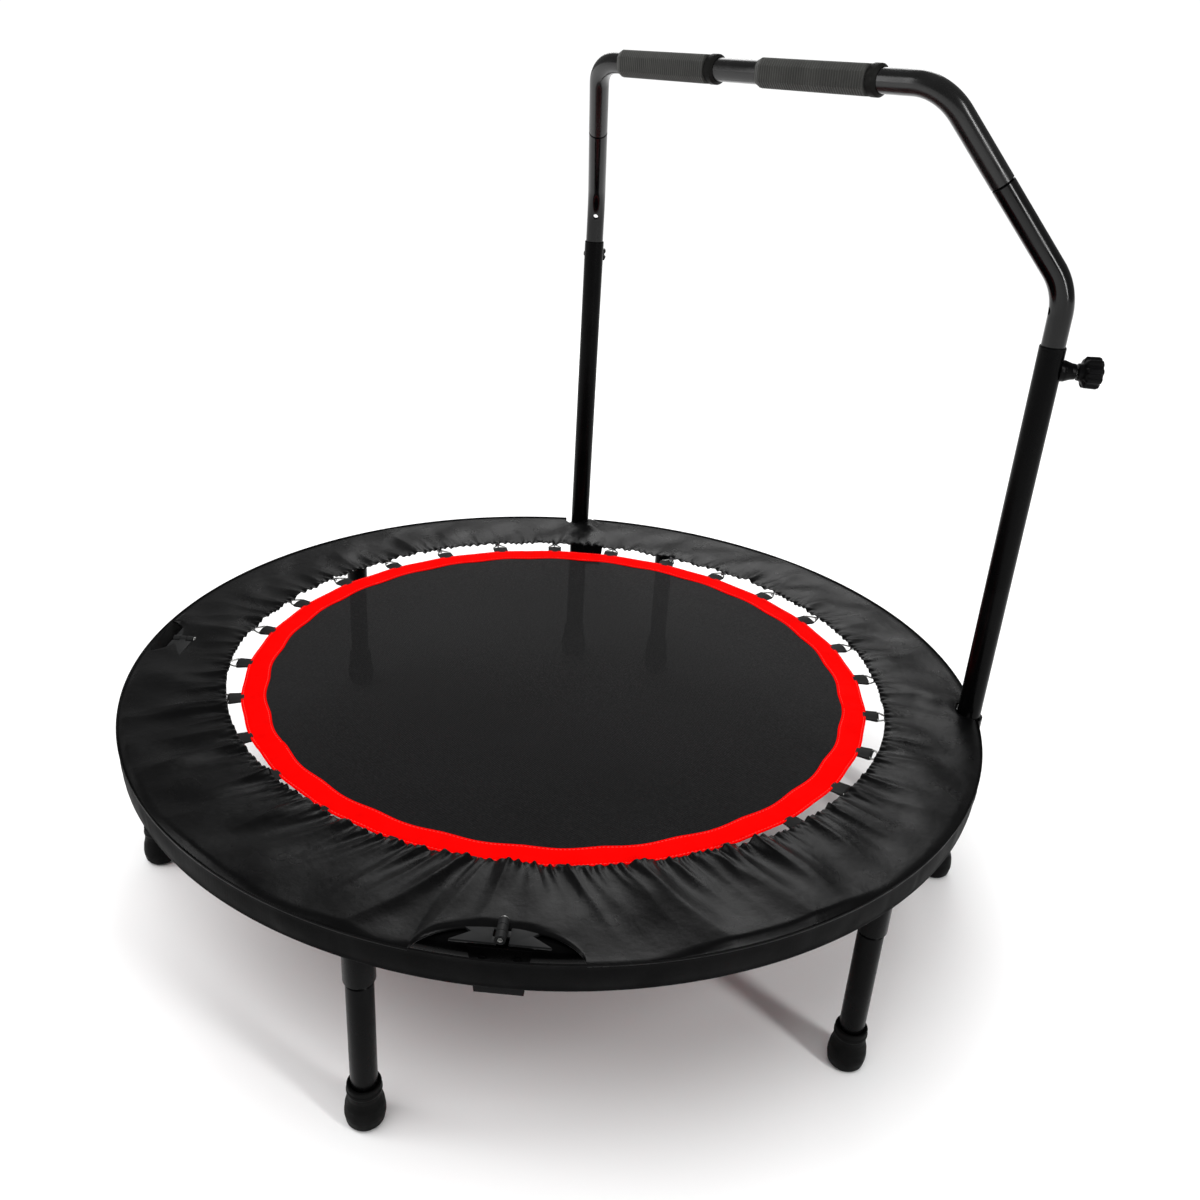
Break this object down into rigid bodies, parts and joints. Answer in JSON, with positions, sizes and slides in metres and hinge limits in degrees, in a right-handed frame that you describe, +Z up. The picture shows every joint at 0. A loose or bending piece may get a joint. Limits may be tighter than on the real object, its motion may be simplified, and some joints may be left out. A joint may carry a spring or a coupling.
{
  "type": "mini trampoline",
  "caption": "Round folding fitness trampoline on six short legs, with a height-adjustable support bar, red-bordered black mat and a gathered fabric skirt.",
  "frame": {"origin": "on the floor under the middle of the ring", "axes": "+Z up; the support bar runs along X on the +Y side"},
  "size_m": [1.0196, 1.016, 0.9423],
  "materials": {
    "black_paint": "gloss",
    "dark_paint": "satin",
    "plated_steel": "zinc plated",
    "spring_steel": "satin",
    "black_rubber": "matte",
    "grip_foam": "ribbed foam",
    "knob_plastic": "satin",
    "mat_weave": "fine woven polypropylene",
    "red_border": "coated webbing",
    "skirt_fabric": "gathered nylon with a soft sheen"
  },
  "bodies": {
    "rear_frame": {"ring_arc_right": "black_paint", "ring_arc_rear": "black_paint", "hinge_leaf_045_a": "black_paint", "hinge_leaf_045_b": "black_paint", "hinge_pin_045": "plated_steel", "hinge_leaf_135_b": "black_paint", "hinge_pin_135": "plated_steel", "hinge_leaf_315_a": "black_paint", "hinge_pin_315": "plated_steel", "leg_000": "black_paint", "leg_060": "black_paint", "leg_120": "black_paint", "leg_foot_000": "black_rubber", "leg_foot_060": "black_rubber", "leg_foot_120": "black_rubber", "lower_post_right": "black_paint", "lower_post_left": "black_paint", "post_foot_right": "black_rubber", "post_foot_left": "black_rubber", "post_bracket_right": "black_paint", "post_bracket_left": "black_paint", "bracket_bolt_right_1": "plated_steel", "bracket_bolt_right_2": "plated_steel", "bracket_bolt_left_1": "plated_steel", "bracket_bolt_left_2": "plated_steel", "mat_rear": "mat_weave", "border_rear": "red_border", "spring_row_rear": "spring_steel", "skirt_rear": "skirt_fabric"},
    "front_frame": {"ring_arc_left": "black_paint", "ring_arc_front": "black_paint", "hinge_leaf_135_a": "black_paint", "hinge_leaf_315_b": "black_paint", "hinge_leaf_225_a": "black_paint", "hinge_leaf_225_b": "black_paint", "hinge_pin_225": "plated_steel", "leg_180": "black_paint", "leg_240": "black_paint", "leg_300": "black_paint", "leg_foot_180": "black_rubber", "leg_foot_240": "black_rubber", "leg_foot_300": "black_rubber", "mat_front": "mat_weave", "border_front": "red_border", "spring_row_front": "spring_steel", "skirt_front": "skirt_fabric"},
    "support_bar": {"side_tube_right": "black_paint", "side_tube_left": "black_paint", "top_bar": "dark_paint", "foam_grip_left": "grip_foam", "foam_grip_right": "grip_foam", "grip_ring_left": "black_rubber", "grip_ring_right": "black_rubber"},
    "knob_right": {"clamp_knob_right": "knob_plastic", "knob_stud_right": "plated_steel"},
    "knob_left": {"clamp_knob_left": "knob_plastic", "knob_stud_left": "plated_steel"}
  },
  "joints": [
    {"name": "fold", "type": "hinge", "parent": "rear_frame", "child": "front_frame", "pos_m": [0, 0, 0.2465], "axis": [-0.7071, 0.7071, 0], "range_deg": [0, 180]},
    {"name": "bar_height", "type": "slide", "parent": "rear_frame", "child": "support_bar", "axis": [0, 0, 1], "range_m": [-0.025, 0.1]},
    {"name": "knob_right_turn", "type": "hinge", "parent": "rear_frame", "child": "knob_right", "pos_m": [0.36624, 0.34332, 0.66], "axis": [0.7296, 0.6839, 0], "continuous": true},
    {"name": "knob_left_turn", "type": "hinge", "parent": "rear_frame", "child": "knob_left", "pos_m": [-0.36624, 0.34332, 0.66], "axis": [-0.7296, 0.6839, 0], "continuous": true}
  ]
}
